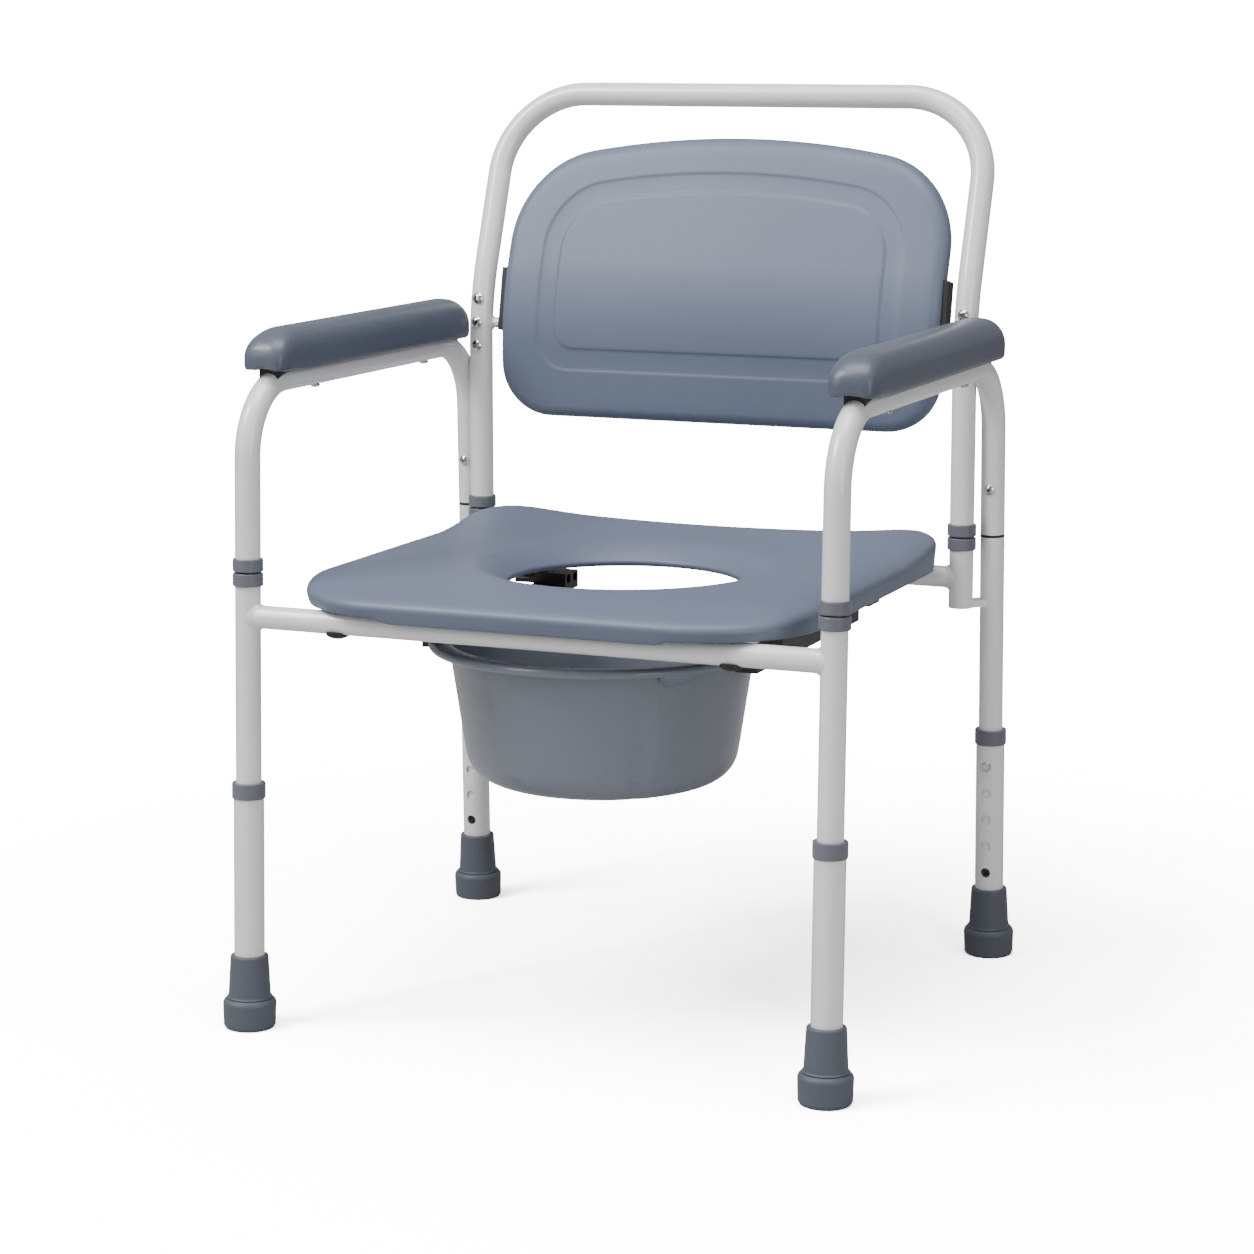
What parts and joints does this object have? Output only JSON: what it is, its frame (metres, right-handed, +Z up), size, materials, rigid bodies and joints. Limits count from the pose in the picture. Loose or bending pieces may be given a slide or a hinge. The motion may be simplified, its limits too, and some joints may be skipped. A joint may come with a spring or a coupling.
{
  "type": "commode chair",
  "caption": "Four-legged commode chair with padded arm loops, a lift-off back, a moulded seat with a round opening, a sliding pail and height-adjustable legs.",
  "frame": {"origin": "on the floor, at the middle of the chair's bounding box", "axes": "+Z up, -Y towards the sitter's front, +X to the right when the chair is seen from its front"},
  "size_m": [0.5754, 0.5398, 0.8051],
  "materials": {
    "powder_coat": "pale warm grey powder coat, semi-gloss",
    "moulded_plastic": "blue-grey moulded plastic, satin with a fine grain",
    "ring_plastic": "grey-blue plastic, satin",
    "soft_grey": "dark blue-grey rubber-like plastic, matt",
    "black_plastic": "black plastic, satin",
    "foot_rubber": "dark blue-grey rubber, matt",
    "plated_steel": "bright plated steel",
    "bare_steel": "dark phosphated steel, matt"
  },
  "bodies": {
    "frame": {"front_crossbar": "powder_coat", "seat_rail_left": "powder_coat", "seat_rail_right": "powder_coat", "post_front_left": "powder_coat", "post_front_right": "powder_coat", "post_rear_left": "powder_coat", "post_rear_right": "powder_coat", "hoop_receiver_left": "powder_coat", "hoop_receiver_right": "powder_coat", "receiver_link_plates": "powder_coat", "tube_end_rings": "ring_plastic", "rear_joint_washers": "black_plastic", "arm_front_spigots": "bare_steel", "arm_rear_spigots": "bare_steel", "arm_tube_left": "powder_coat", "arm_tube_right": "powder_coat", "arm_pad_left": "soft_grey", "arm_pad_right": "soft_grey", "arm_pad_base_left": "black_plastic", "arm_pad_base_right": "black_plastic", "arm_pad_screws": "plated_steel", "arm_bolts": "plated_steel", "seat": "moulded_plastic", "seat_screws": "bare_steel", "seat_screw_caps": "black_plastic", "pail_rail_left": "black_plastic", "pail_rail_right": "black_plastic", "pail_rail_hangers": "black_plastic", "pail_rail_rivets": "plated_steel", "post_guide_bushes": "ring_plastic", "button_springs": "bare_steel"},
    "back": {"hoop": "powder_coat", "hoop_spigots": "bare_steel", "hoop_end_rings": "ring_plastic", "hoop_stiffeners": "bare_steel", "back_crossbar": "powder_coat", "backrest_panel": "moulded_plastic", "back_clamps": "black_plastic", "back_bolts": "plated_steel", "back_clamp_screws": "plated_steel"},
    "pail": {"pail": "moulded_plastic"},
    "leg_front_left": {"leg_front_left": "powder_coat", "collar_front_left": "ring_plastic", "foot_front_left": "foot_rubber"},
    "button_front_left": {"button_front_left": "plated_steel"},
    "leg_front_right": {"leg_front_right": "powder_coat", "collar_front_right": "ring_plastic", "foot_front_right": "foot_rubber"},
    "button_front_right": {"button_front_right": "plated_steel"},
    "leg_rear_left": {"leg_rear_left": "powder_coat", "collar_rear_left": "ring_plastic", "foot_rear_left": "foot_rubber"},
    "button_rear_left": {"button_rear_left": "plated_steel"},
    "leg_rear_right": {"leg_rear_right": "powder_coat", "collar_rear_right": "ring_plastic", "foot_rear_right": "foot_rubber"},
    "button_rear_right": {"button_rear_right": "plated_steel"}
  },
  "joints": [
    {"name": "pail_slide", "type": "slide", "parent": "frame", "child": "pail", "axis": [0, -1, 0], "range_m": [0, 0.3]},
    {"name": "back_lift", "type": "slide", "parent": "frame", "child": "back", "axis": [0, 0, 1], "range_m": [0, 0.06]},
    {"name": "leg_height_front_left", "type": "slide", "parent": "frame", "child": "leg_front_left", "axis": [0, 0.0297, 0.9996], "range_m": [0, 0.0762]},
    {"name": "button_press_front_left", "type": "slide", "parent": "leg_front_left", "child": "button_front_left", "axis": [0, -0.9996, 0.0297], "range_m": [0, 0.0018], "stiffness_N_per_m": 800, "springref_m": -0.0015},
    {"name": "leg_height_front_right", "type": "slide", "parent": "frame", "child": "leg_front_right", "axis": [0, 0.0297, 0.9996], "range_m": [0, 0.0762]},
    {"name": "button_press_front_right", "type": "slide", "parent": "leg_front_right", "child": "button_front_right", "axis": [0, -0.9996, 0.0297], "range_m": [0, 0.0018], "stiffness_N_per_m": 800, "springref_m": -0.0015},
    {"name": "leg_height_rear_left", "type": "slide", "parent": "frame", "child": "leg_rear_left", "axis": [0, -0.0297, 0.9996], "range_m": [0, 0.0762]},
    {"name": "button_press_rear_left", "type": "slide", "parent": "leg_rear_left", "child": "button_rear_left", "axis": [0, 0.9996, 0.0297], "range_m": [0, 0.0018], "stiffness_N_per_m": 800, "springref_m": -0.0015},
    {"name": "leg_height_rear_right", "type": "slide", "parent": "frame", "child": "leg_rear_right", "axis": [0, -0.0297, 0.9996], "range_m": [0, 0.0762]},
    {"name": "button_press_rear_right", "type": "slide", "parent": "leg_rear_right", "child": "button_rear_right", "axis": [0, 0.9996, 0.0297], "range_m": [0, 0.0018], "stiffness_N_per_m": 800, "springref_m": -0.0015}
  ]
}
